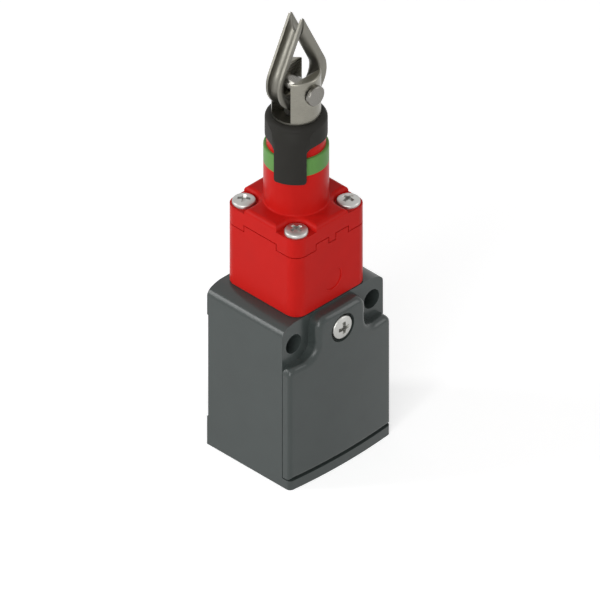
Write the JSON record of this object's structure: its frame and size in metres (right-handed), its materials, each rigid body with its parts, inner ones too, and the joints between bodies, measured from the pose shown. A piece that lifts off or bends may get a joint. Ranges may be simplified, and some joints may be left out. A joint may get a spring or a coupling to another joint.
{
  "type": "rope pull switch",
  "caption": "Small rope pull safety switch: grey moulded case, red head with a spring-loaded rod, green tension band and black pointer sleeve, and a steel clevis with a rope thimble.",
  "frame": {"origin": "centre of the cable entry's mouth in the case's underside, on the pull rod's axis", "axes": "+Z along the rod towards the rope, -Y out of the front cover, +Y out of the mounting face"},
  "size_m": [0.0286, 0.0245, 0.1029],
  "materials": {
    "grey_plastic": "satin",
    "red_plastic": "satin",
    "green_plastic": "satin",
    "black_plastic": "satin",
    "stainless": "polished",
    "screw_steel": "bright",
    "spring_steel": "bright",
    "rubber": "matte",
    "brass": "bright",
    "block_plastic": "matte",
    "cam_plastic": "satin"
  },
  "bodies": {
    "case": {"housing": "grey_plastic", "front_cover": "grey_plastic", "cover_gasket": "rubber", "cover_screw": "screw_steel", "contact_block": "block_plastic", "contact_block_screws": "screw_steel", "fixed_contacts": "brass", "terminal_clamps": "screw_steel", "terminal_screws": "screw_steel", "head_base": "red_plastic", "head_cap": "red_plastic", "head_gasket": "rubber", "head_screws": "screw_steel", "tension_band": "green_plastic", "guide_bush": "brass", "wiper_seal": "rubber", "pull_spring": "spring_steel", "plunger_spring": "spring_steel"},
    "rod": {"pull_rod": "stainless", "cam_cone": "cam_plastic", "cam_nut": "spring_steel", "spring_washer": "spring_steel", "swivel_nut": "spring_steel"},
    "clevis": {"clevis": "stainless", "clevis_pin": "stainless", "pin_clip": "stainless"},
    "indicator": {"indicator_sleeve": "black_plastic"},
    "thimble": {"thimble": "stainless"},
    "slide": {"cam_slide": "cam_plastic"},
    "plunger": {"contact_plunger": "block_plastic", "contact_bridge": "brass"}
  },
  "joints": [
    {"name": "pull_slide", "type": "slide", "parent": "case", "child": "rod", "axis": [0, 0, 1], "range_m": [0, 0.007], "stiffness_N_per_m": 4000, "springref_m": -0.005, "deforming": ["pull_spring"]},
    {"name": "clevis_swivel", "type": "hinge", "parent": "rod", "child": "clevis", "pos_m": [0, 0, 0.0753], "axis": [0, 0, 1], "continuous": true},
    {"name": "sleeve_turn", "type": "hinge", "parent": "clevis", "child": "indicator", "pos_m": [0, 0, 0.0753], "axis": [0, 0, 1], "continuous": true},
    {"name": "thimble_swing", "type": "hinge", "parent": "clevis", "child": "thimble", "pos_m": [0, 0, 0.086], "axis": [0, 1, 0], "range_deg": [-60, 60]},
    {"name": "cam_follow", "type": "slide", "parent": "case", "child": "slide", "axis": [1, 0, 0], "range_m": [0, 0.00175]},
    {"name": "plunger_travel", "type": "slide", "parent": "case", "child": "plunger", "axis": [0, 0, -1], "range_m": [0, 0.00175], "deforming": ["plunger_spring"]}
  ],
  "couplings": [
    {"joint": "cam_follow", "follows": "pull_slide", "ratio": 0.25},
    {"joint": "plunger_travel", "follows": "pull_slide", "ratio": 0.25}
  ]
}
